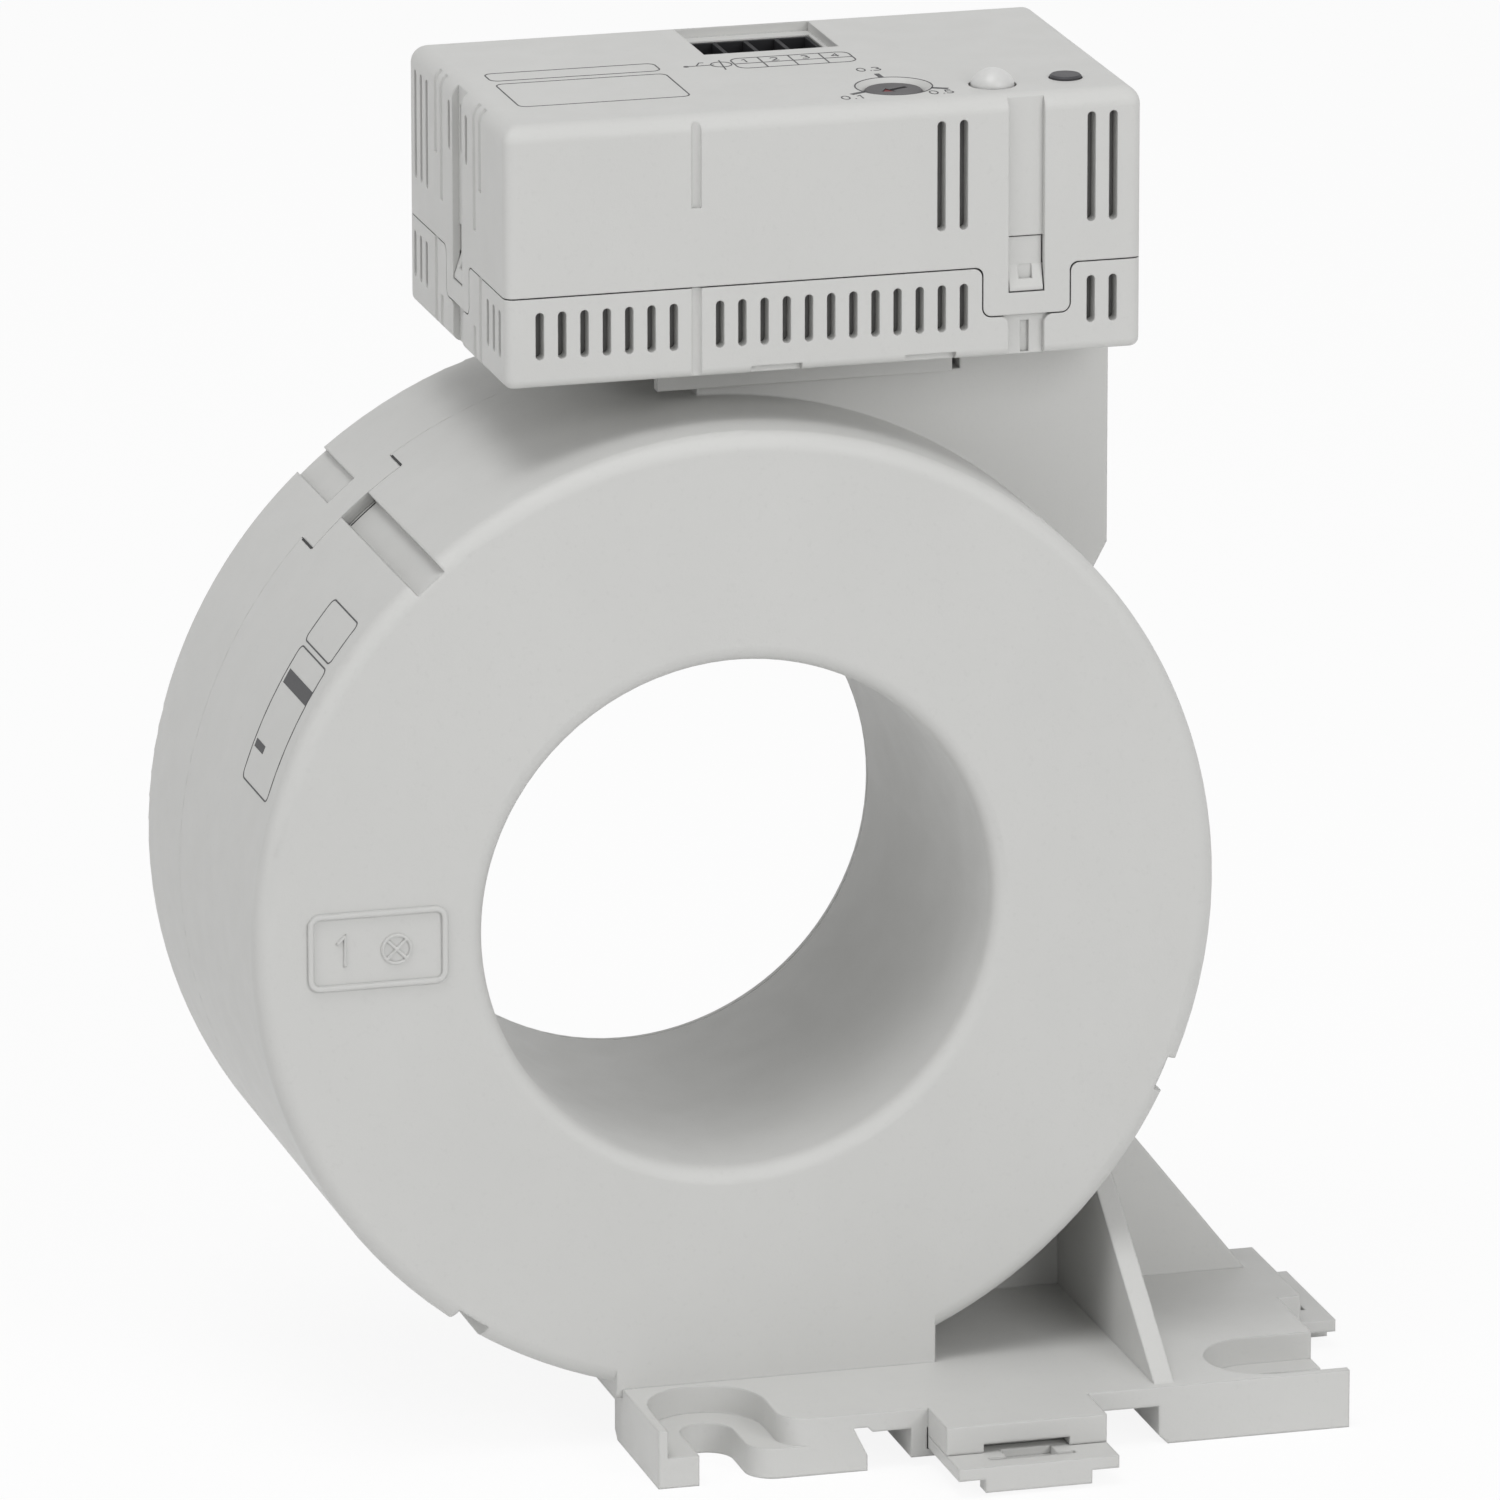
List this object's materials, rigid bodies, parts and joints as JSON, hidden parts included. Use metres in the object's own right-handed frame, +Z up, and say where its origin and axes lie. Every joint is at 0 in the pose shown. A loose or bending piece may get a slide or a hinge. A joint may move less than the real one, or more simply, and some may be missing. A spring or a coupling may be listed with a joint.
{
  "type": "toroidal current transformer",
  "caption": "Ring current transformer with a cable bore, a foot for a mounting rail or screws and an electronics box on top.",
  "frame": {"origin": "centre of the cable bore, half way through the ring", "axes": "+Y along the bore away from the marked face, +X to the right of the marked face, +Z up"},
  "size_m": [0.1323, 0.0872, 0.1572],
  "materials": {
    "housing_plastic": "finely textured moulded light grey",
    "clip_plastic": "moulded light grey",
    "module_plastic": "finely textured moulded light grey",
    "core_strip": "wound strip",
    "tray_plastic": "moulded white",
    "copper_wire": "enamelled wire",
    "foam": "soft foam",
    "lead_insulation": "insulated lead",
    "connector_plastic": "moulded",
    "board_laminate": "green laminate",
    "socket_plastic": "moulded black",
    "pin_metal": "tinned",
    "switch_plastic": "moulded",
    "dial_plastic": "moulded dark grey",
    "lens_plastic": "translucent white",
    "lamp_resin": "clear resin",
    "button_plastic": "moulded dark grey",
    "relay_plastic": "moulded",
    "chip_resin": "moulded",
    "capacitor_metal": "sleeved can"
  },
  "bodies": {
    "housing": {"front_housing": "housing_plastic", "rear_cover": "housing_plastic", "module_bracket": "housing_plastic", "module_base": "module_plastic", "module_cover": "module_plastic", "magnetic_core": "core_strip", "core_tray": "tray_plastic", "core_lid": "tray_plastic", "secondary_winding": "copper_wire", "front_cushion": "foam", "rear_cushion": "foam", "winding_leads": "lead_insulation", "lead_connector": "connector_plastic", "circuit_board": "board_laminate", "terminal_socket": "socket_plastic", "terminal_pins": "pin_metal", "selector_switch": "switch_plastic", "status_lens": "lens_plastic", "status_led": "lamp_resin", "test_switch": "switch_plastic", "output_relay": "relay_plastic", "control_chip": "chip_resin", "smoothing_capacitors": "capacitor_metal"},
    "front_clip": {"rail_clip_front": "clip_plastic"},
    "side_clip": {"rail_clip_side": "clip_plastic"},
    "dial": {"selector_dial": "dial_plastic"},
    "button": {"test_button": "button_plastic"}
  },
  "joints": [
    {"name": "front_clip_slide", "type": "slide", "parent": "housing", "child": "front_clip", "axis": [0, -1, 0], "range_m": [0, 0.0025]},
    {"name": "side_clip_slide", "type": "slide", "parent": "housing", "child": "side_clip", "axis": [1, 0, 0], "range_m": [0, 0.0025]},
    {"name": "dial_turn", "type": "hinge", "parent": "housing", "child": "dial", "pos_m": [0.02185, -0.0139, 0.09], "axis": [0, 0, 1], "range_deg": [-230, 0]},
    {"name": "button_press", "type": "slide", "parent": "housing", "child": "button", "axis": [0, 0, -1], "range_m": [0, 0.0004], "stiffness_N_per_m": 2000}
  ]
}
